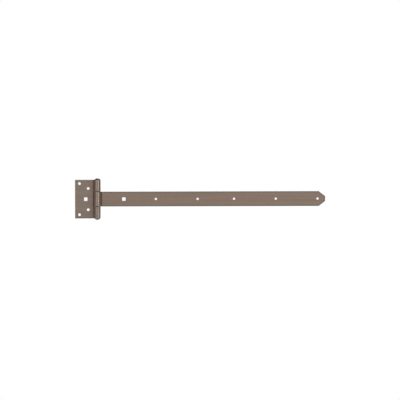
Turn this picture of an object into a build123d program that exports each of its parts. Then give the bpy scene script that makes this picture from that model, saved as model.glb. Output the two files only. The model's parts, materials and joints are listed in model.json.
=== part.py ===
from build123d import *
import math
import os

# A heavy tee hinge in three pieces: a wall plate and a long strap, each rolled into eyes, and a riveted pin.
# Units are millimetres. +X runs along the strap, +Z up the pin, and the front of the hinge looks along -Y.
# Both leaves lie flat against the plane y = 0. The origin is the centre of the plate's bolt hole on that plane.

# Sheet and eyes
SHEET_THICKNESS = 4.0
EDGE_RADIUS = 0.8  # rounding of the cut edges of both leaves
PIN_PLAY = 0.08  # room all round the pin inside the eyes
EYE_END_GAP = 0.25  # room along the pin between neighbouring eyes
TAIL_ANGLE = 36.0  # degrees before the eye's widest point where the rolled end runs on straight
SEAM_GAP = 0.2  # slit between that end and the leaf that it lands on
NOTCH_CLEARANCE = 0.8  # room between the strap's eye and the plate's edge behind it

# Riveted pin
PIN_DIAMETER = 8.8
FORMED_HEAD_OVERHANG = 3.8
FORMED_HEAD_HEIGHT = 4.0
PEENED_HEAD_OVERHANG = 3.8
PEENED_HEAD_HEIGHT = 3.7

# Wall plate
PLATE_HEIGHT = 102.0
PLATE_BOLT_TO_PIN = 30.8
PLATE_BOLT_TO_EDGE = 28.3
PLATE_SCREW_HOLE = 7.0
OUTER_SCREW_TO_EDGE = 11.8
OUTER_SCREW_TO_END = 10.0
INNER_SCREW_TO_PIN = 24.3
INNER_SCREW_SPACING = 56.0

# Strap
STRAP_LENGTH = 600.0  # from the pin's axis to the tip
STRAP_WIDTH = 39.0
TIP_LENGTH = 16.8
TIP_WIDTH = 13.0
STRAP_BOLT_TO_PIN = 69.6
STRAP_SCREW_HOLE = 6.0
FIRST_SCREW_TO_PIN = 154.0
LAST_SCREW_TO_TIP = 20.0
SCREW_PITCH = 110.0
LEAST_SCREW_GAP = 80.0  # where the holes spaced from the pin meet the holes spaced from the tip
NEAR_SCREWS = 2  # holes spaced from the pin

# Square holes for carriage bolts, one in each leaf
BOLT_SQUARE = 9.0
BOLT_CORNER_RADIUS = 0.6

# Sizes that follow from those above
EYE_BORE_RADIUS = PIN_DIAMETER / 2 + PIN_PLAY
EYE_RADIUS = EYE_BORE_RADIUS + SHEET_THICKNESS
NOTCH_HEIGHT = STRAP_WIDTH + 2 * EYE_END_GAP
NOTCH_REACH = math.sqrt((EYE_RADIUS + NOTCH_CLEARANCE) ** 2 - EYE_BORE_RADIUS**2)
PLATE_WIDTH = PLATE_BOLT_TO_PIN + PLATE_BOLT_TO_EDGE  # from the outer edge to the pin's axis
PIN_X = PLATE_BOLT_TO_PIN
PIN_Y = -EYE_RADIUS
CUT_DEPTH = 4 * EYE_RADIUS  # longer than anything that a cutter has to pass through


def rolled_eye(width):
    """The rolled end of a leaf that lies on the +X side of the pin.

    The sheet's middle line leaves the flat leaf behind the pin, turns about the pin with the leaf's
    back outwards, and ends in a straight tail that stops just short of the leaf's front face.
    """
    tail_angle = math.radians(TAIL_ANGLE)
    tail_length = (EYE_BORE_RADIUS * (1 + math.sin(tail_angle)) - SEAM_GAP) / math.cos(tail_angle)
    roll = CenterArc((PIN_X, PIN_Y), EYE_RADIUS - SHEET_THICKNESS / 2, 90, 270 - TAIL_ANGLE)
    tail = Line(roll @ 1, roll @ 1 + tail_length * (roll % 1))
    start = Plane(roll @ 0, x_dir=(0, 0, 1), z_dir=roll % 0)
    section = start * RectangleRounded(width, SHEET_THICKNESS, EDGE_RADIUS)
    return sweep(section, path=Wire([roll, tail]))


def rolled_leaf(outline, width):
    """A flat leaf of the given front view, its edges rounded, with the eye rolled at its straight end by the pin."""
    flat = extrude(Plane.XZ * outline, SHEET_THICKNESS)
    by_depth = flat.edges().group_by(Axis.Y)
    rims = [rim.sort_by(Axis.X)[1:] for rim in (by_depth[0], by_depth[-1])]
    return fillet(rims[0] + rims[1], EDGE_RADIUS) + rolled_eye(width)


def through(*outlines):
    """Cutters that run right through a leaf, from outlines in its front view."""
    return [extrude(Plane.XZ * outline, CUT_DEPTH / 2, both=True) for outline in outlines]


def bolt_square(x):
    """The square hole that keeps a carriage bolt from turning, on the hinge's centre line."""
    return Pos(x, 0) * RectangleRounded(BOLT_SQUARE, BOLT_SQUARE, BOLT_CORNER_RADIUS)


def screw_holes(diameter, places):
    """Round screw holes at the given places."""
    return [Pos(x, z) * Circle(diameter / 2) for x, z in places]


def notch_section():
    """What is missing between the plate's eyes, seen along the pin: the whole roll and the end of the flat."""
    flat_edge = PIN_X - NOTCH_REACH
    past_tail = PIN_X - 2 * EYE_RADIUS
    far_side = PIN_X + CUT_DEPTH
    return Polygon(
        (flat_edge, CUT_DEPTH), (flat_edge, -SHEET_THICKNESS), (past_tail, -SHEET_THICKNESS),
        (past_tail, -CUT_DEPTH), (far_side, -CUT_DEPTH), (far_side, CUT_DEPTH),
        align=None,
    )


def make_wall_plate():
    """The plate for the door frame: an eye at each end of one side, with a notch between them for the strap's."""
    outline = Pos(PIN_X + PLATE_WIDTH / 2, 0) * Rectangle(PLATE_WIDTH, PLATE_HEIGHT)
    plate = mirror(rolled_leaf(outline, PLATE_HEIGHT), about=Plane.YZ.offset(PIN_X))
    notch = extrude(notch_section(), NOTCH_HEIGHT / 2, both=True)
    outer_x, outer_z = OUTER_SCREW_TO_EDGE - PLATE_BOLT_TO_EDGE, PLATE_HEIGHT / 2 - OUTER_SCREW_TO_END
    inner_x, inner_z = PIN_X - INNER_SCREW_TO_PIN, INNER_SCREW_SPACING / 2
    screws = [(outer_x, outer_z), (outer_x, -outer_z), (inner_x, inner_z), (inner_x, -inner_z)]
    return plate - [notch, *through(bolt_square(0), *screw_holes(PLATE_SCREW_HOLE, screws))]


def strap_screw_places():
    """Two runs of equally spaced holes, one from the pin and one from the tip, with what is left between them."""
    near = [FIRST_SCREW_TO_PIN + i * SCREW_PITCH for i in range(NEAR_SCREWS)]
    last = STRAP_LENGTH - LAST_SCREW_TO_TIP
    far_screws = 1 + int((last - near[-1] - LEAST_SCREW_GAP) // SCREW_PITCH)
    far = [last - i * SCREW_PITCH for i in range(far_screws)]
    return [(PIN_X + x, 0) for x in near + far]


def make_strap():
    """The long leaf for the door: one eye in the plate's notch, and a blunt point at the far end."""
    half, blunt = STRAP_WIDTH / 2, TIP_WIDTH / 2
    tip = PIN_X + STRAP_LENGTH
    shoulder = tip - TIP_LENGTH
    outline = Polygon(
        (PIN_X, -half), (shoulder, -half), (tip, -blunt), (tip, blunt), (shoulder, half), (PIN_X, half),
        align=None,
    )
    bolt = bolt_square(PIN_X + STRAP_BOLT_TO_PIN)
    screws = screw_holes(STRAP_SCREW_HOLE, strap_screw_places())
    return rolled_leaf(outline, STRAP_WIDTH) - through(bolt, *screws)


def make_pin():
    """The pin: a plain shank through the eyes, with a formed head below and a peened head above."""
    seat = PLATE_HEIGHT / 2
    shank = PIN_DIAMETER / 2
    bottom, formed_rim = (0, -seat - FORMED_HEAD_HEIGHT), (shank + FORMED_HEAD_OVERHANG, -seat)
    top, peened_rim = (0, seat + PEENED_HEAD_HEIGHT), (shank + PEENED_HEAD_OVERHANG, seat)
    half_section = make_face([
        Line(top, bottom),
        TangentArc(bottom, formed_rim, tangent=(1, 0)),
        Polyline(formed_rim, (shank, -seat), (shank, seat), peened_rim),
        TangentArc(top, peened_rim, tangent=(1, 0)),
    ])
    return Pos(PIN_X, PIN_Y, 0) * revolve(Plane.XZ * half_section, Axis.Z)


PIECES = {"wall_plate": make_wall_plate(), "strap": make_strap(), "hinge_pin": make_pin()}

os.makedirs("parts", exist_ok=True)
for name, piece in PIECES.items():
    export_step(piece, f"parts/{name}.step")
    print(name, "volume", round(piece.volume), "solids", len(piece.solids()))
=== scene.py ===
# %% [markdown]
# # A tee hinge
# A tee hinge hangs a shed door or a garden gate. A tall plate is screwed to the frame and a long strap
# lies along the door, and the two turn on one pin where their ends are rolled into eyes.
# The CAD solids already fix every size and place. They are loaded here as a frame, in metres, and each
# piece below is made again where its solid is, with finer rounding and with the coating it is sold in.
# The box of the solids is kept now.

# %% The frame
import json
import math
import random

import bmesh
import bpy
from mathutils import Matrix, Vector


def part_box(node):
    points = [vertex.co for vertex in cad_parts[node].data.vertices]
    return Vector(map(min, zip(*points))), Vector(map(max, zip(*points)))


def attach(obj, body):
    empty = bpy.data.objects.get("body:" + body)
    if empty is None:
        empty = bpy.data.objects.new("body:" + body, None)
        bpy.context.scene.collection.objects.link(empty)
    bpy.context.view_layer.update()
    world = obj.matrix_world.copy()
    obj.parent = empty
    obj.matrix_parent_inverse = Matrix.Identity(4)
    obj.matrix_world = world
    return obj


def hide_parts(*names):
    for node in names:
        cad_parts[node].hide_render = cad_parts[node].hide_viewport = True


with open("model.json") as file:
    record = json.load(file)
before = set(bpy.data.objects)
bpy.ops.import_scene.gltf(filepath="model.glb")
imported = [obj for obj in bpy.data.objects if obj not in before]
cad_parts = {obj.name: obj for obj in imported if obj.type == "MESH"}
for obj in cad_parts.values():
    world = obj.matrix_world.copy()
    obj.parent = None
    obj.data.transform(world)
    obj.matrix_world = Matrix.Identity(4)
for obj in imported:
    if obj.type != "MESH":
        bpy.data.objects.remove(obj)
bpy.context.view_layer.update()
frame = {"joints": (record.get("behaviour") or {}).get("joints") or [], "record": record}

# %% [markdown]
# ## Sizes
# The sizes could be typed in again, but then they could drift away from the solids. The frame knows
# most of them: the joint stands on the pin's axis, the mounts stand on the front of the sheet, and the
# boxes of the solids give the outlines. The back of both leaves is the plane y = 0. An eye is rolled
# until its back lies in that plane too, so its outer radius is the depth of the axis in front of it.

# %% Sizes read from the frame
MM = 0.001
mounts = {mount["name"]: mount for mount in frame["record"]["mounts"]}
pin_axis = Vector(frame["joints"][0]["pos_m"])
sheet = -mounts["plate_bolt"]["pos_m"][1]
eye_radius = -pin_axis.y
bore_radius = eye_radius - sheet
plate_low, plate_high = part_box("wall_plate")
_, strap_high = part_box("strap")
pin_low, pin_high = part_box("hinge_pin")
strap_half = strap_high.z
print("sheet", round(sheet / MM, 2), "mm, eye radius", round(eye_radius / MM, 2), "mm")

# %% [markdown]
# ## The blank of the wall plate
# The plate is the fixed leaf, a tall rectangle with a notch in the side where the strap's eye turns. It
# could be made from three rectangles, but on the real plate the notch is cut from one blank of steel
# strip, and the two tongues that are left are rolled together. So the blank is one flat rectangle in the
# plane of the back. Three planes cut it across, and the face that lies in the notch is taken away.

# %% The blank
UPRIGHT = Matrix.Rotation(math.radians(90), 4, "X")
CUT_TOLERANCE = 1e-7
EYE_END_GAP = 0.25 * MM
NOTCH_CLEARANCE = 0.8 * MM

notch_half = strap_half + EYE_END_GAP
notch_reach = math.sqrt((eye_radius + NOTCH_CLEARANCE) ** 2 - bore_radius ** 2)


def flat_sheet(left, right, bottom, top):
    """One flat rectangle of sheet in the plane of the back, seen from the front."""
    leaf = bmesh.new()
    middle = Matrix.Translation(((left + right) / 2, 0, (bottom + top) / 2))
    size = Matrix.Diagonal((right - left, top - bottom, 1, 1))
    bmesh.ops.create_grid(leaf, x_segments=1, y_segments=1, size=0.5, matrix=middle @ UPRIGHT @ size)
    return leaf


def cut_across(leaf, point, normal, trim=False):
    """Cuts the sheet right across on a plane, and if trim is set, takes away what lies past it."""
    everything = leaf.verts[:] + leaf.edges[:] + leaf.faces[:]
    bmesh.ops.bisect_plane(leaf, geom=everything, dist=CUT_TOLERANCE, plane_co=point, plane_no=normal,
                           clear_outer=trim)


def face_at(leaf, point):
    """The face of the flat sheet that a point lies in."""
    return next(face for face in leaf.faces if bmesh.geometry.intersect_face_point(face, point))


plate = flat_sheet(plate_low.x, pin_axis.x, plate_low.z, plate_high.z)
cut_across(plate, Vector((pin_axis.x - notch_reach, 0, 0)), Vector((1, 0, 0)))
cut_across(plate, Vector((0, 0, -notch_half)), Vector((0, 0, 1)))
cut_across(plate, Vector((0, 0, notch_half)), Vector((0, 0, 1)))
notch = face_at(plate, Vector((pin_axis.x - notch_reach / 2, 0, 0)))
bmesh.ops.delete(plate, geom=[notch], context="FACES")
print("a blank of", len(plate.faces), "faces, with a notch", round(notch_reach / MM, 2), "mm deep")

# %% [markdown]
# ## Punched holes
# A press punches the holes while the strip is still flat. A Boolean could cut them out of a block, but
# it leaves ragged faces that won't take an even rounding. Here four cuts leave a square cell round each
# hole. A ring of points is then bridged to the cell's edge, which leaves the hole open in a collar of
# clean quads. The bridge finds its way round only if one ring stands off the other, so the ring is
# pressed flat after. It is a circle for a screw. For the square neck of a carriage bolt each point moves
# outwards, until the circle is a square with slightly rounded corners. The mounts of the record say
# where all the holes are, and how wide the round ones are.

# %% One hole
HOLE_POINTS = 48
CELL = 1.7  # half the width of a cell, as a multiple of the hole's


def punch(leaf, hole):
    """Opens one hole (x, z, half width, squareness) in a cell of sheet cut out round it."""
    x, z, half, squareness = hole
    centre = Vector((x, 0, z))
    for towards in (Vector((-1, 0, 0)), Vector((1, 0, 0)), Vector((0, 0, -1)), Vector((0, 0, 1))):
        home = face_at(leaf, centre)
        bmesh.ops.bisect_plane(leaf, geom=[home] + home.edges[:] + home.verts[:], dist=CUT_TOLERANCE,
                               plane_co=centre + towards * CELL * half, plane_no=towards)
    cell = face_at(leaf, centre)
    bmesh.ops.subdivide_edges(leaf, edges=cell.edges[:], cuts=HOLE_POINTS // 4 - 1)
    rim = cell.edges[:]
    bmesh.ops.delete(leaf, geom=[cell], context="FACES_ONLY")
    upright = Matrix.Translation(centre) @ UPRIGHT
    ring = bmesh.ops.create_circle(leaf, segments=HOLE_POINTS, radius=half, matrix=upright)["verts"]
    for point in ring:
        away = point.co - centre
        span = abs(away.x / half) ** squareness + abs(away.z / half) ** squareness
        point.co = centre + away / span ** (1 / squareness)
    bmesh.ops.translate(leaf, verts=ring, vec=(0, -half, 0))
    rim += dict.fromkeys(edge for point in ring for edge in point.link_edges)  # each edge once
    bmesh.ops.bridge_loops(leaf, edges=rim)
    bmesh.ops.translate(leaf, verts=ring, vec=(0, half, 0))


# %% The plate's holes
ROUND = 2  # power that keeps the ring a circle
SQUARE = 16  # power that makes it a square with slightly rounded corners
BOLT_HALF = 4.5 * MM


def screw_holes(name):
    """The round holes that one screw mount of the record stands for."""
    mount = mounts[name]
    x, _, z = mount["pos_m"]
    dims = mount["dims"]
    half = dims.get("hole_r_mm", dims.get("r_mm")) * MM
    along = dims.get("spacing_x_mm", 0) * MM / 2
    up = dims.get("spacing_y_mm", 0) * MM / 2
    places = {(x + side * along, z + side * up) for side in (-1, 1)}
    return [(place_x, place_z, half, ROUND) for place_x, place_z in sorted(places)]


def bolt_hole(name):
    """The square hole that one carriage bolt mount of the record stands for."""
    x, _, z = mounts[name]["pos_m"]
    return [(x, z, BOLT_HALF, SQUARE)]


plate_holes = bolt_hole("plate_bolt")
plate_holes += screw_holes("plate_outer_screws") + screw_holes("plate_inner_screws")
for hole in plate_holes:
    punch(plate, hole)
print(len(plate_holes), "holes in the plate")

# %% [markdown]
# ## Thickness and rolled eyes
# The press then rolls the tongues round a mandrel. First the flat sheet gets its thickness by an
# extrusion from its back to its front. The faces left at its end are then spun round the pin's axis, just
# as the steel travels in the press. A bend modifier would also curl it, but it would bend all of the leaf
# and need a helper object. The last few millimetres of steel never reach the mandrel's curve on a real
# hinge, so they run straight on until their edge nearly meets the leaf, and leave a seam.

# %% Thickness
def thicken(leaf):
    """Extrudes the flat sheet from its back towards the front."""
    grown = bmesh.ops.extrude_face_region(leaf, geom=leaf.faces[:])["geom"]
    points = [part for part in grown if isinstance(part, bmesh.types.BMVert)]
    bmesh.ops.translate(leaf, verts=points, vec=(0, -sheet, 0))
    bmesh.ops.recalc_face_normals(leaf, faces=leaf.faces[:])


thicken(plate)
print("a thick plate of", len(plate.faces), "faces")

# %% Rolled eyes
ROLL_DEGREES = 234
ROLL_STEPS = 48
SEAM_GAP = 0.2 * MM
FACING = 0.9  # least part of a face's normal along an axis for it to face that way
TOUCHING = 0.01 * MM


def roll_eyes(leaf, heading):
    """Spins the end faces of a leaf that heads along x (1 or -1) round the pin, then adds the tail."""
    ends = [face for face in leaf.faces if face.normal.x * heading > FACING
            and abs(face.calc_center_median().x - pin_axis.x) < TOUCHING]
    turn = math.radians(ROLL_DEGREES)
    rolled = bmesh.ops.spin(leaf, geom=ends, cent=pin_axis, axis=(0, 0, 1), angle=-heading * turn,
                            steps=ROLL_STEPS)["geom_last"]
    tip = [part for part in rolled if isinstance(part, bmesh.types.BMFace)]
    drop = bore_radius * (1 - math.cos(turn)) - SEAM_GAP
    tail = drop / -math.sin(turn)
    grown = bmesh.ops.extrude_face_region(leaf, geom=tip)["geom"]
    bmesh.ops.delete(leaf, geom=ends + tip, context="FACES")
    points = [part for part in grown if isinstance(part, bmesh.types.BMVert)]
    onward = Vector((heading * math.cos(turn), -math.sin(turn), 0)) * tail
    bmesh.ops.translate(leaf, verts=points, vec=onward)
    bmesh.ops.recalc_face_normals(leaf, faces=leaf.faces[:])
    print("eyes rolled:", len(tip), "with a tail of", round(tail / MM, 2), "mm")


roll_eyes(plate, 1)

# %% [markdown]
# ## Rounded edges
# Sheared and punched steel is deburred before it is coated, so none of its edges stays sharp. A Bevel
# modifier would round them all by the same amount, but the rims of the holes are crisper than the
# outline, so the bevel operator runs twice.
# The flats left between the cells have many corners, some of them in line, and are split into even
# triangles, because a plain fan from one corner would leave slivers. Smooth shading alone would make
# the flats look dished, so a modifier weights the normals by the size of the faces.

# %% Edges
SHARP_DEGREES = 60
OUTLINE_ROUNDING = 0.8 * MM
HOLE_ROUNDING = 0.25 * MM
RIM_REACH = 1.45  # past the corners of a square hole, as a multiple of half its width


def sharp_edges(mesh):
    """The edges at which two faces meet steeply."""
    return [edge for edge in mesh.edges if edge.calc_face_angle(0) > math.radians(SHARP_DEGREES)]


def round_off(mesh, edges, rounding, segments):
    """Bevels some edges into a round."""
    bmesh.ops.bevel(mesh, geom=edges, offset=rounding, segments=segments, profile=0.5, affect="EDGES",
                    material=-1, clamp_overlap=True)


def round_edges(leaf, holes):
    """Rounds the rims of the holes and then all the other sharp edges."""
    def in_hole(edge):
        spot = edge.verts[0].co
        return any(math.hypot(spot.x - x, spot.z - z) < half * RIM_REACH for x, z, half, _ in holes)

    rims = [edge for edge in sharp_edges(leaf) if in_hole(edge)]
    round_off(leaf, rims, HOLE_ROUNDING, segments=3)
    outline = [edge for edge in sharp_edges(leaf) if not in_hole(edge)]
    round_off(leaf, outline, OUTLINE_ROUNDING, segments=4)
    print(len(rims), "edges rounded in the holes and", len(outline), "along the outline")


round_edges(plate, plate_holes)

# %% The finished plate
def object_from(mesh, name):
    """Makes a bmesh into an object of the scene."""
    data = bpy.data.meshes.new(name)
    mesh.to_mesh(data)
    mesh.free()
    made = bpy.data.objects.new(name, data)
    bpy.context.scene.collection.objects.link(made)
    return made


def piece_from(mesh, name):
    """Makes a bmesh into a smoothly shaded piece whose flats stay flat."""
    many_sided = [face for face in mesh.faces if len(face.verts) > 4]
    bmesh.ops.triangulate(mesh, faces=many_sided, quad_method="BEAUTY", ngon_method="BEAUTY")
    open_edges = sum(1 for edge in mesh.edges if not edge.is_manifold)
    piece = object_from(mesh, name)
    piece.data.shade_smooth()
    evening = piece.modifiers.new("flats stay flat", "WEIGHTED_NORMAL")
    evening.mode = "FACE_AREA"
    evening.weight = 80
    print(name, "has", len(piece.data.polygons), "faces and", open_edges, "open edges")
    return piece


plate_piece = piece_from(plate, "wall_plate_leaf")

# %% [markdown]
# ## The strap
# The strap is the moving leaf: a long strip with one eye across its whole width and a blunt point. The
# corners of a grid could be pulled in for the point, but on the real strap they are sheared off, so two
# slanting planes trim the flat sheet. After that the strap goes the same way as the plate.

# %% The strap
TIP_LENGTH = 16.8 * MM
TIP_HALF = 6.5 * MM

strap = flat_sheet(pin_axis.x, strap_high.x, -strap_half, strap_half)
for side in (-1, 1):
    shoulder = Vector((strap_high.x - TIP_LENGTH, 0, side * strap_half))
    outwards = Vector((strap_half - TIP_HALF, 0, side * TIP_LENGTH))
    cut_across(strap, shoulder, outwards, trim=True)
strap_holes = bolt_hole("strap_bolt") + screw_holes("strap_near_screws")
strap_holes += screw_holes("strap_middle_screw") + screw_holes("strap_far_screws")
for hole in strap_holes:
    punch(strap, hole)
print(len(strap_holes), "holes in the strap")
thicken(strap)
roll_eyes(strap, -1)
round_edges(strap, strap_holes)
strap_piece = piece_from(strap, "strap_leaf_long")

# %% [markdown]
# ## The pin
# The pin is a rivet, and its heads are nearly as wide as the eyes. The lower one is formed when it is
# made, a smooth low button. The upper one is hammered over once the eyes are on it, so it is flatter,
# and the blows leave small flats. The outline of half the pin is made first: each head's arc is its
# crown point spun about the centre of the head's curve. That outline is then spun once round the axis.
# A sphere cut in half would do for the heads, but the outline gives head, seat and shank in one skin.

# %% Half the pin's outline
PIN_PLAY = 0.08 * MM
ARC_STEPS = 18
shank_radius = bore_radius - PIN_PLAY
head_radius = pin_high.x - pin_axis.x


def head_arc(pin, crown_z, seat_z):
    """Spins a head's crown point down to its rim. Returns the rim, and the arc's centre and radius."""
    height = abs(crown_z - seat_z)
    up = 1 if crown_z > seat_z else -1
    arc_radius = (head_radius ** 2 + height ** 2) / (2 * height)
    centre = Vector((pin_axis.x, pin_axis.y, crown_z - up * arc_radius))
    crown = pin.verts.new((pin_axis.x, pin_axis.y, crown_z))
    lean = math.asin(head_radius / arc_radius)
    rim = bmesh.ops.spin(pin, geom=[crown], cent=centre, axis=(0, 1, 0), angle=up * lean,
                         steps=ARC_STEPS)["geom_last"]
    return next(part for part in rim if isinstance(part, bmesh.types.BMVert)), centre, arc_radius


pin = bmesh.new()
low_rim, _, _ = head_arc(pin, pin_low.z, plate_low.z)
high_rim, high_centre, high_curve = head_arc(pin, pin_high.z, plate_high.z)
shank = [pin.verts.new((pin_axis.x + shank_radius, pin_axis.y, z)) for z in (plate_low.z, plate_high.z)]
for pair in ((low_rim, shank[0]), shank, (shank[1], high_rim)):
    pin.edges.new(pair)
print("an outline of", len(pin.verts), "points")

# %% The spun pin
PIN_STEPS = 72
MERGE_REACH = 0.001 * MM
RIM_ROUNDING = 0.3 * MM

bmesh.ops.spin(pin, geom=pin.verts[:] + pin.edges[:], cent=pin_axis, axis=(0, 0, 1),
               angle=math.radians(360), steps=PIN_STEPS, use_merge=True)
bmesh.ops.remove_doubles(pin, verts=pin.verts[:], dist=MERGE_REACH)
bmesh.ops.recalc_face_normals(pin, faces=pin.faces[:])
rims = [edge for edge in sharp_edges(pin)
        if (edge.verts[0].co - pin_axis).to_2d().length > head_radius - RIM_ROUNDING]
round_off(pin, rims, RIM_ROUNDING, segments=3)
print(len(rims), "edges rounded on the rims of the heads")

# %% Hammer blows
BLOWS = 15
FIRST_LEAN = 4  # degrees from the crown, for the first blow
LEAN_SPREAD = 38  # degrees from there to the last blows
BLOW_TURN = 137.5  # degrees from one blow to the next, the angle that spreads points evenly on a disc
TURN_PLAY = 0.3  # radians that a blow may stray to either side
BLOW_DEPTHS = (0.10 * MM, 0.17 * MM)

hammer = random.Random(11)
for blow in range(BLOWS):
    lean = math.radians(FIRST_LEAN + LEAN_SPREAD * math.sqrt(blow / BLOWS))
    turn = blow * math.radians(BLOW_TURN) + hammer.uniform(-TURN_PLAY, TURN_PLAY)
    face = Vector((math.sin(lean) * math.cos(turn), math.sin(lean) * math.sin(turn), math.cos(lean)))
    depth = high_curve - hammer.uniform(*BLOW_DEPTHS)
    for point in pin.verts:
        past = (point.co - high_centre).dot(face) - depth
        if point.co.z > plate_high.z + RIM_ROUNDING and past > 0:
            point.co -= face * past
pin_piece = piece_from(pin, "hinge_pin_rivet")

# %% [markdown]
# ## The coating
# The hinge is sold with a thin satin coating, a greyed brown that lies somewhere between bronze and
# taupe. Metal powder is mixed into the brown and a clear skin closes it, so the flats stay even while
# the curved eyes run from a pale line to a dark side. Nearly half of the base is metallic for that, with
# a clear coat over it. Under it the strip's rolling marks run along the hinge as faint streaks, the hue
# drifts in long bands between an olive and a redder brown, and the skin has the fine orange peel of a
# sprayed and baked coat. One flat colour would look like plastic.
# The patterns read Object coordinates, in metres, so their scales are counts per metre.
# The class below wraps one output of a node. Sums and products of wrapped outputs add Math nodes, and
# its node method adds any other kind, settings first and then the values or links of its sockets.

# %% Nodes as expressions
class Signal:
    """One output socket in a node tree, for use in plain expressions."""

    def __init__(self, tree, socket):
        self.tree = tree
        self.socket = socket

    def node(self, kind, settings=None, sockets=None, output=0):
        """Adds a node to the same tree and returns one of its outputs."""
        made = self.tree.nodes.new(kind)
        for name, value in (settings or {}).items():
            setattr(made, name, value)
        for name, value in (sockets or {}).items():
            if isinstance(value, Signal):
                self.tree.links.new(value.socket, made.inputs[name])
            else:
                made.inputs[name].default_value = value
        return Signal(self.tree, made.outputs[output]) if made.outputs else None

    def calculate(self, operation, first, second):
        """A Math node on two values, each a number or a wrapped output."""
        return self.node("ShaderNodeMath", {"operation": operation}, {0: first, 1: second})

    def __add__(self, other):
        return self.calculate("ADD", self, other)

    def __sub__(self, other):
        return self.calculate("SUBTRACT", self, other)

    def __rsub__(self, other):
        return self.calculate("SUBTRACT", other, self)

    def __mul__(self, other):
        return self.calculate("MULTIPLY", self, other)

    __radd__ = __add__
    __rmul__ = __mul__


def first_signal(tree, kind, output):
    """Empties a node tree and starts it again with one node."""
    tree.nodes.clear()
    return Signal(tree, tree.nodes.new(kind).outputs[output])


# %% Patterns of the coating
coating = bpy.data.materials.new("satin_brown_coating")
coating.use_nodes = True
place = first_signal(coating.node_tree, "ShaderNodeTexCoord", "Object")


def noise(where, scale, detail):
    """A soft random pattern round 0, with so many lumps in each unit of its coordinates."""
    sockets = {"Vector": where, "Scale": scale, "Detail": detail}
    return place.node("ShaderNodeTexNoise", None, sockets, "Fac") - 0.5


def stretched(*scale):
    """Object coordinates with so many lumps per metre along each axis."""
    return place.node("ShaderNodeMapping", None, {"Vector": place, "Scale": scale}, "Vector")


bands = noise(stretched(4, 25, 60), scale=1, detail=2)
streaks = noise(stretched(5, 120, 300), scale=1, detail=4)
clouds = noise(place, scale=16, detail=3)
peel = noise(place, scale=900, detail=1)
specks = noise(place, scale=3200, detail=1)
print(len(coating.node_tree.nodes), "nodes so far in the coating")

# %% [markdown]
# ## Painted shade and darker edges
# Shade is painted into the colour in a few places. On both sides of the strap's eye, in the plate's
# corner and along the strap's seam, the colour gets a dark painted shade, where the plate's eyes shade
# them. The plate is painted a little redder and darker all along the eyes, as their shadow. Where the
# ends of the eyes meet, dark lines of painted shade mark the gaps between them. The strap's outline is a
# shade darker, and the plate's foot gets painted shade as an edge that faces down. The coat lies thickest
# and warmest along the strap's middle.
# These places could be painted as an attribute of the mesh. Distances from the pin and from the edges
# find them with a few nodes instead, at any fineness of mesh, and follow the pieces when they turn.

# %% Distances from the pin
from_pin = place.node("ShaderNodeVectorMath", {"operation": "SUBTRACT"},
                      {0: place, 1: (pin_axis.x, pin_axis.y, 0)}, "Vector")
across_pin = place.node("ShaderNodeVectorMath", {"operation": "MULTIPLY"},
                        {0: from_pin, 1: (1, 1, 0)}, "Vector")
reach = place.node("ShaderNodeVectorMath", {"operation": "LENGTH"}, {0: across_pin}, "Value")
right_of_pin, behind_pin, along_pin = [
    place.node("ShaderNodeSeparateXYZ", None, {"Vector": from_pin}, axis) for axis in ("X", "Y", "Z")]
left_of_pin = 0 - right_of_pin
off_middle = place.calculate("ABSOLUTE", along_pin, 0)


def near(value, fade, start=0):
    """A mask that is 1 before a fade and 0 after it. The fade's two ends are measured from a start."""
    sockets = {"Value": value, "From Min": start + fade[0], "From Max": start + fade[1],
               "To Min": 1, "To Max": 0}
    return place.node("ShaderNodeMapRange", {"interpolation_type": "SMOOTHSTEP"}, sockets)


print(len(coating.node_tree.nodes), "nodes with the distances")

# %% Painted shade in the gaps between the eyes
EYE_FADE = (0.05 * MM, 0.25 * MM)  # outwards from the skin of an eye
GAP_SHADE_FADE = (0.78 * MM, 1.3 * MM)  # up or down from the middle of a gap between eyes

eye_end = strap_half + EYE_END_GAP / 2
on_eye = near(reach, EYE_FADE, eye_radius)
off_gap = place.calculate("ABSOLUTE", off_middle - eye_end, 0)
# Painted shade: a dark line on each eye beside the gaps where the ends of the eyes meet.
painted_gap_shade = on_eye * near(off_gap, GAP_SHADE_FADE)
print("painted_shade lines", round(eye_end / MM, 2), "mm above and below the middle")

# %% Painted shade beside the eyes
BACK_FADE = (1.0 * MM, 2.0 * MM)  # backwards from the front of a leaf
FRONT_FADE = (-1.2 * MM, -0.8 * MM)
GAP_FADE = (0, 0.4 * MM)
CORNER_FADE = (12.2 * MM, 12.6 * MM)  # outwards from the pin's axis
SEAM_FADE = (0.6 * MM, 2.2 * MM)  # outwards from the skin of an eye
SEAM_SHARE = 0.85
EYE_SHADOW_FADE = (14.0 * MM, 33.0 * MM)

# The front of a leaf lies behind the pin's axis by the radius of the bore.
before_back = near(behind_pin, BACK_FADE, bore_radius)
before_front = near(behind_pin, FRONT_FADE, bore_radius)
# Painted shade: the plate's flat beside the strap's eye and the strap's seam are darkened where the eyes
# shade them.
plate_crevice_shade = near(reach, CORNER_FADE) * (1 - on_eye) * (before_back - before_front)
strap_seam_shade = (1 - near(reach, SEAM_FADE, eye_radius)) * before_front
painted_crevice_shade = near(off_middle, GAP_FADE, eye_end) * (plate_crevice_shade + strap_seam_shade * SEAM_SHARE)
plate_side = before_back * (1 - near(left_of_pin, (bore_radius, eye_radius)))
# Painted shadow of the eyes: the plate is a little redder and darker all along them.
painted_eye_shadow = plate_side * near(reach, EYE_SHADOW_FADE)
print(len(coating.node_tree.nodes), "nodes with the thin spray")

# %% Darker sheared edges, and painted shade on the plate's foot
EDGE_FADE = (1.6 * MM, 4.0 * MM)  # inwards from a sheared edge
LEAF_FADE = (3.5 * MM, 4.5 * MM)  # along a leaf, away from the skin of its eye
MIDDLE_FADE = (0.25 * strap_half, strap_half)

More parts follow.
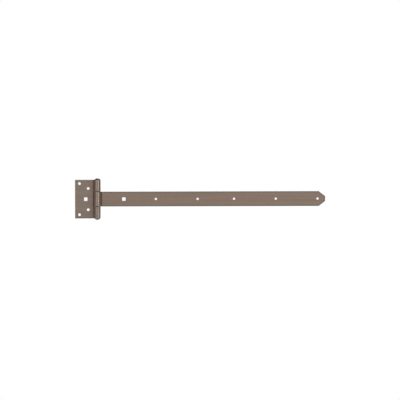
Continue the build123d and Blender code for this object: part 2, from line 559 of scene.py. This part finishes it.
slant = Vector((strap_half - TIP_HALF, TIP_LENGTH)).normalized()
from_side = strap_half - off_middle
from_end = strap_high.x - pin_axis.x - right_of_pin
from_slant = (from_end - TIP_LENGTH) * slant.x + from_side * slant.y
from_edge = place.calculate("MINIMUM", place.calculate("MINIMUM", from_side, from_slant), from_end)
on_strap = 1 - near(right_of_pin, LEAF_FADE, eye_radius)
on_plate = 1 - near(left_of_pin, LEAF_FADE, eye_radius)
# The strap's outline is darkened, and the plate's foot gets painted shade as an edge that faces down.
rim = on_strap * near(from_edge, EDGE_FADE) + on_plate * near(along_pin, EDGE_FADE, plate_low.z)
strap_middle = on_strap * near(off_middle, MIDDLE_FADE)
print(len(coating.node_tree.nodes), "nodes with the edges")

# %% [markdown]
# ## The finish
# The masks now come together. Colours could be mixed by ramps, but a tint for each channel shows plainly
# what the warmer middle of the strap and the painted shadow of the eyes do to the brown. The painted
# shade at the gaps and beside the eyes is a dark, warm brown, a little rougher and without the clear
# skin.

# %% The satin coating
OLIVE_BROWN = (0.163, 0.124, 0.083, 1)
RED_BROWN = (0.177, 0.114, 0.085, 1)
WARM_TINT = (0.04, -0.05, -0.10)
EYE_SHADOW_TINT = (-0.04, -0.19, -0.16)
PAINTED_SHADE_BROWN = (0.07, 0.022, 0.013, 1)
GAP_SHADE_WEIGHT = 0.9
CREVICE_SHADE_WEIGHT = 0.8
EDGE_DARKENING = 0.38


def mixed(factor, first, second, blend_type="MIX"):
    """A Mix node on two colours. Its sockets are numbered, because several have the same name."""
    settings = {"data_type": "RGBA", "blend_type": blend_type}
    return place.node("ShaderNodeMix", settings, {0: factor, 6: first, 7: second}, 2)


drift = bands * 2.4 + clouds * 0.6 + streaks * 0.5 + 0.5
depth = (1 + streaks * 0.6 + bands * 0.2 + specks * 0.1) * (1 - rim * EDGE_DARKENING)
# The tints carry the warmer middle of the strap and the painted shadow of the eyes.
tints = [1 + strap_middle * warm + painted_eye_shadow * dark for warm, dark in zip(WARM_TINT, EYE_SHADOW_TINT)]
red, green, blue = [depth * tint for tint in tints]
shade = place.node("ShaderNodeCombineColor", None, {"Red": red, "Green": green, "Blue": blue})
coated = mixed(1.0, mixed(drift, OLIVE_BROWN, RED_BROWN), shade, "MULTIPLY")
# Painted shade: the gap lines and the crevices beside the eyes are mixed towards a dark, warm brown.
colour = mixed(painted_gap_shade * GAP_SHADE_WEIGHT + painted_crevice_shade * CREVICE_SHADE_WEIGHT, coated, PAINTED_SHADE_BROWN)
dullness = 0.38 + clouds * 0.14 + streaks * 0.10 + specks * 0.08 + painted_gap_shade * 0.1 + painted_crevice_shade * 0.2
skin = peel * 0.7 + specks * 0.3
dimples = place.node("ShaderNodeBump", None, {"Height": skin, "Strength": 0.35, "Distance": 0.06 * MM})
clear_skin = 1 - painted_gap_shade - painted_crevice_shade
surface = place.node("ShaderNodeBsdfPrincipled", None,
                     {"Base Color": colour, "Roughness": dullness, "Normal": dimples, "Metallic": 0.45,
                      "IOR": 1.5, "Coat Weight": clear_skin, "Coat Roughness": 0.18})
place.node("ShaderNodeOutputMaterial", None, {"Surface": surface})
print(len(coating.node_tree.nodes), "nodes in the whole coating")

# %% Coated pieces on their bodies
for piece, body, node in ((plate_piece, "frame_leaf", "wall_plate"), (strap_piece, "strap_leaf", "strap"),
                          (pin_piece, "frame_leaf", "hinge_pin")):
    piece.data.materials.append(coating)
    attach(piece, body)
    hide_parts(node)
    print(piece.name, "rides on", body, "and stands for", node)

# %% [markdown]
# ## Floor and surroundings
# The hinge is shown on plain white. A white world alone would do for the picture from the front, but a
# floor just under the hinge catches its shadow in the other views. To a camera, a reflection or a
# transmission the world is white, and to everything else it is a dim grey, so that the white behind the
# hinge doesn't wash out its shaded sides. The floor is lifted to white in the same way, by a glow that
# only those rays see, and it still shows the hinge's shadow.

# %% The world
WHITE = (1, 1, 1, 1)
SURROUND = 0.6


def seen_directly(anything):
    """A mask that is 1 for rays of the camera, of reflections and of transmission."""
    rays = [anything.node("ShaderNodeLightPath", None, None, name)
            for name in ("Is Camera Ray", "Is Glossy Ray", "Is Transmission Ray")]
    most = anything.calculate("MAXIMUM", rays[0], rays[1])
    return anything.calculate("MAXIMUM", most, rays[2])


world = bpy.data.worlds.new("white_surround")
bpy.context.scene.world = world
world.use_nodes = True
sky = first_signal(world.node_tree, "ShaderNodeLightPath", "Is Camera Ray")
seen = seen_directly(sky)
glow = sky.node("ShaderNodeBackground", None, {"Color": WHITE, "Strength": seen + (1 - seen) * SURROUND})
sky.node("ShaderNodeOutputWorld", None, {"Surface": glow})
print("the world gives", SURROUND, "of the light that its white would")

# %% The floor
FLOOR_DROP = 1.5 * MM
FLOOR_SIZE = 6.0
FLOOR_GLOW = 0.52
PAPER_WHITE = (0.8, 0.8, 0.8, 1)

ground = bmesh.new()
bmesh.ops.create_grid(ground, x_segments=1, y_segments=1, size=FLOOR_SIZE / 2,
                      matrix=Matrix.Translation((pin_axis.x, 0, pin_low.z - FLOOR_DROP)))
floor = object_from(ground, "floor")

paper = bpy.data.materials.new("white_floor")
paper.use_nodes = True
start = first_signal(paper.node_tree, "ShaderNodeLightPath", "Is Camera Ray")
matt = start.node("ShaderNodeBsdfDiffuse", None, {"Color": PAPER_WHITE})
strength = seen_directly(start) * FLOOR_GLOW
light = start.node("ShaderNodeEmission", None, {"Color": WHITE, "Strength": strength})
both = start.node("ShaderNodeAddShader", None, {0: matt, 1: light})
start.node("ShaderNodeOutputMaterial", None, {"Surface": both})
floor.data.materials.append(paper)
print("floor at", round((pin_low.z - FLOOR_DROP) / MM, 1), "mm")

# %% [markdown]
# ## Light
# The photograph was lit softly from the front and above, with a soft light on either side. The rolled
# eyes show it: two pale lines run down each of them, a bright one right of the middle and a weaker one
# on the left. A single lamp at the camera would put one line in the middle. So a wide panel high in
# front lights the flats, and two tall narrow panels, right and left, draw the two lines.
# A satin surface seen edge-on mirrors whatever stands beside it, so on a white set the sides of the
# eyes and of the pin's heads would fade into the background. A photographer hangs black cloth just out
# of the picture to keep such edges dark. Two curtains and a ceiling do that here, the left one in grey
# because the left sides of the eyes are a little paler. The camera and the shadows ignore them, and
# only reflections see them.

# %% Light panels
LOOK_AT = Vector((pin_axis.x + 0.2, 0, 0))  # on the strap, a third of the way along
PANEL_DISTANCE = 3.0


def light_panel(name, azimuth, elevation, width, tallness, watts):
    """A soft rectangular lamp that looks at the hinge. Azimuth 0 is in front, and 90 to the right."""
    lamp = bpy.data.lights.new(name, "AREA")
    lamp.shape = "RECTANGLE"
    lamp.size = width
    lamp.size_y = tallness
    lamp.energy = watts
    turn, rise = math.radians(azimuth), math.radians(elevation)
    back = Vector((math.sin(turn) * math.cos(rise), -math.cos(turn) * math.cos(rise), math.sin(rise)))
    panel = bpy.data.objects.new(name, lamp)
    panel.location = LOOK_AT + back * PANEL_DISTANCE
    panel.rotation_euler = (-back).to_track_quat("-Z", "Y").to_euler()
    panel.visible_camera = False
    bpy.context.scene.collection.objects.link(panel)
    print(name, "at", [round(number, 2) for number in panel.location])


light_panel("high_panel", azimuth=0, elevation=48, width=2.4, tallness=1.6, watts=6)
light_panel("right_panel", azimuth=40, elevation=8, width=0.5, tallness=2.2, watts=35)
light_panel("left_panel", azimuth=-33, elevation=8, width=0.4, tallness=2.2, watts=12)

# %% Dark cloths
CURTAIN_REACH = 1.6
CURTAIN_BACK = 2.6
CURTAIN_LENGTH = 7.0
CEILING_LENGTH = 6.4


def dark_cloth(name, shade):
    """A matt cloth of one grey."""
    cloth = bpy.data.materials.new(name)
    cloth.use_nodes = True
    nap = first_signal(cloth.node_tree, "ShaderNodeLightPath", "Is Camera Ray")
    pile = nap.node("ShaderNodeBsdfDiffuse", None, {"Color": (shade, shade, shade, 1)})
    nap.node("ShaderNodeOutputMaterial", None, {"Surface": pile})
    return cloth


def hang(cloth, name, middle, across, along):
    """Hangs a cloth, spanned by two arrows from its middle, where only reflections see it."""
    curtain_mesh = bmesh.new()
    span = Matrix((across, along, across.cross(along))).transposed().to_4x4()
    hung = Matrix.Translation(middle) @ span
    bmesh.ops.create_grid(curtain_mesh, x_segments=1, y_segments=1, size=1, matrix=hung)
    curtain = object_from(curtain_mesh, name)
    curtain.data.materials.append(cloth)
    curtain.visible_camera = False
    curtain.visible_diffuse = False
    curtain.visible_shadow = False
    print(name, "hung at", [round(number, 2) for number in middle])


velvet = dark_cloth("black_velvet", 0.02)
felt = dark_cloth("grey_felt", 0.3)
upwards = Vector((0, 0, CURTAIN_REACH))
sideways = Vector((CURTAIN_REACH, 0, 0))
behind_hinge = LOOK_AT + Vector((0, CURTAIN_BACK, 0))
hang(velvet, "right_curtain", behind_hinge + sideways, Vector((0, CURTAIN_LENGTH / 2, 0)), upwards)
hang(felt, "left_curtain", behind_hinge - sideways, Vector((0, CURTAIN_LENGTH / 2, 0)), upwards)
hang(velvet, "ceiling", behind_hinge + upwards, sideways, Vector((0, CEILING_LENGTH / 2, 0)))

# %% [markdown]
# ## Camera
# The photograph looks straight at the front, from far enough away that no side of the hinge shows. A
# long lens gives that nearly flat view. The picture is square, so its width at the hinge fixes the
# distance. The strap climbs very slightly to the right in the photograph, and the camera is rolled by
# that much.

# %% Camera
VIEW_WIDTH = 1.0548
VIEW_MIDDLE = Vector((0.30106, 0, -0.00306))
LENS = 200
SENSOR_WIDTH = 36
ROLL_ANGLE = math.radians(0.15)

eye = bpy.data.cameras.new("camera")
eye.sensor_width = SENSOR_WIDTH
eye.lens = LENS
camera = bpy.data.objects.new("camera", eye)
bpy.context.scene.collection.objects.link(camera)
distance = VIEW_WIDTH * LENS / SENSOR_WIDTH
camera.location = VIEW_MIDDLE + Vector((0, -distance, 0))
camera.rotation_euler = (UPRIGHT @ Matrix.Rotation(-ROLL_ANGLE, 4, "Z")).to_euler()
bpy.context.scene.camera = camera
bpy.context.scene.view_settings.view_transform = "Standard"
print("camera", round(distance, 2), "m in front")
